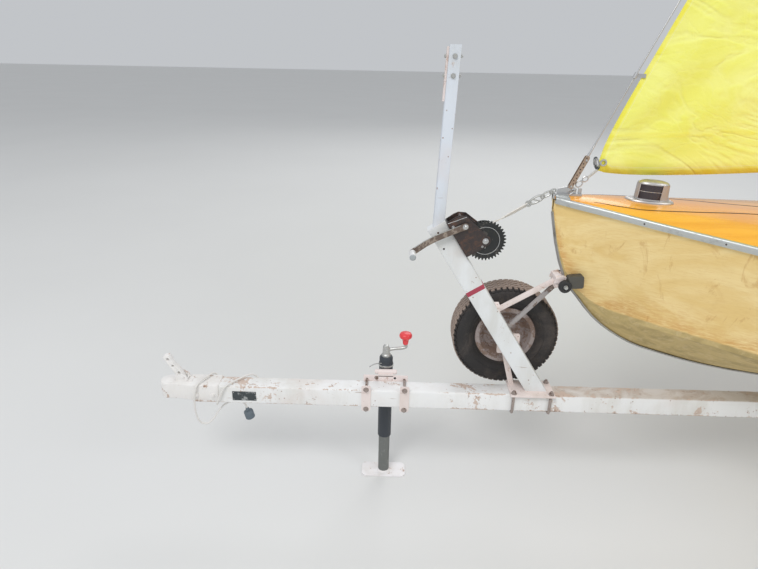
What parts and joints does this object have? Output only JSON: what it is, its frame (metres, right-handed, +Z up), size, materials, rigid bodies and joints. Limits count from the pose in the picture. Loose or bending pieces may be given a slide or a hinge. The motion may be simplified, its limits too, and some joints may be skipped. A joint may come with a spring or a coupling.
{
  "type": "sailing dinghy on a trailer",
  "caption": "Hard-chine plywood sailing dinghy with its mast stepped and sails set, resting on a single-axle road trailer with a swivel jack, winch post and spare wheel.",
  "frame": {"origin": "on the floor, under the middle of the whole's bounding box", "axes": "+X forward towards the trailer's coupler and the boat's bow, +Y to port, +Z up"},
  "size_m": [6.8219, 1.5468, 7.2085],
  "materials": {
    "trailer_paint": "worn white paint over buff primer, rust at the edges",
    "jack_paint": "satin charcoal",
    "zinc": "dull zinc plate",
    "bracket_paint": "pinkish white paint, chalked",
    "red_plastic": "gloss",
    "winch_paint": "dark brown, rusted",
    "webbing": "woven",
    "stop_rubber": "matt",
    "tyre": "dusty black",
    "rim_paint": "dull with rust",
    "cable": "matt grey-white",
    "plug_plastic": "matt",
    "spring_steel": "dark, rusted",
    "carpet": "short pile over wood",
    "lamp_red": "ribbed",
    "hull_wood": "varnished pale plywood",
    "deck_wood": "orange varnish",
    "trim_wood": "varnished hardwood",
    "inside_wood": "satin varnish",
    "rail_metal": "satin",
    "band_metal": "dull",
    "spar_metal": "satin anodised",
    "stainless": "satin",
    "light_body": "polished, pitted",
    "light_lens": "dark red",
    "sailcloth": "crisp yellow"
  },
  "bodies": {
    "trailer_and_hull": {"tongue": "trailer_paint", "coupler": "trailer_paint", "coupler_latch": "trailer_paint", "jack_bracket": "bracket_paint", "winch_post": "trailer_paint", "post_clamp": "trailer_paint", "mast_crutch": "trailer_paint", "winch_frame": "winch_paint", "winch_gear": "winch_paint", "winch_crank": "winch_paint", "winch_strap": "webbing", "bow_stop_arms": "trailer_paint", "bow_stop_pad": "stop_rubber", "spare_carrier": "trailer_paint", "spare_tyre": "tyre", "spare_wheel": "rim_paint", "lead": "cable", "lead_plug": "plug_plastic", "axle": "trailer_paint", "leaf_springs": "spring_steel", "cross_members": "trailer_paint", "fenders": "trailer_paint", "bunk_supports": "trailer_paint", "bunks": "carpet", "keel_rollers": "stop_rubber", "roller_brackets": "zinc", "tail_bar": "trailer_paint", "tail_lamps": "lamp_red", "hull": "hull_wood", "deck": "deck_wood", "coaming": "trim_wood", "rub_rails": "rail_metal", "stem_band": "band_metal", "transom": "hull_wood", "bulkheads": "inside_wood", "floorboards": "inside_wood", "centreboard_trunk": "inside_wood", "centreboard": "trim_wood", "thwart": "trim_wood", "gudgeons": "stainless", "stay_fittings": "stainless", "bow_light": "light_body", "bow_light_lenses": "light_lens", "mast": "spar_metal", "mast_fittings": "stainless", "jib": "sailcloth", "stays": "stainless"},
    "left_wheel": {"tyre_left": "tyre", "wheel_left": "rim_paint"},
    "right_wheel": {"tyre_right": "tyre", "wheel_right": "rim_paint"},
    "boom_and_sail": {"boom": "spar_metal", "mainsail": "sailcloth"},
    "rudder": {"rudder_head": "trim_wood", "tiller": "trim_wood"},
    "blade": {"rudder_blade": "trim_wood"},
    "jack": {"jack_tube": "jack_paint", "jack_leg": "zinc", "jack_crank": "zinc", "jack_knob": "red_plastic"}
  },
  "joints": [
    {"name": "left_wheel_spin", "type": "hinge", "parent": "trailer_and_hull", "child": "left_wheel", "pos_m": [-0.93304, 0.66, 0.2095], "axis": [0, 1, 0], "continuous": true},
    {"name": "right_wheel_spin", "type": "hinge", "parent": "trailer_and_hull", "child": "right_wheel", "pos_m": [-0.93304, -0.66, 0.2095], "axis": [0, 1, 0], "continuous": true},
    {"name": "boom_swing", "type": "hinge", "parent": "trailer_and_hull", "child": "boom_and_sail", "pos_m": [0.25059, 0, 1.77005], "axis": [-0.0436, 0, 0.999], "range_deg": [-60, 60]},
    {"name": "rudder_swing", "type": "hinge", "parent": "trailer_and_hull", "child": "rudder", "pos_m": [-2.80504, 0, 0.735], "axis": [0, 0, 1], "range_deg": [-45, 45]},
    {"name": "blade_drop", "type": "hinge", "parent": "rudder", "child": "blade", "pos_m": [-2.88304, 0, 0.74], "axis": [0, -1, 0], "range_deg": [0, 70]},
    {"name": "jack_swivel", "type": "hinge", "parent": "trailer_and_hull", "child": "jack", "pos_m": [2.51696, -0.093, 0.485], "axis": [0, -1, 0], "range_deg": [0, 90]}
  ]
}
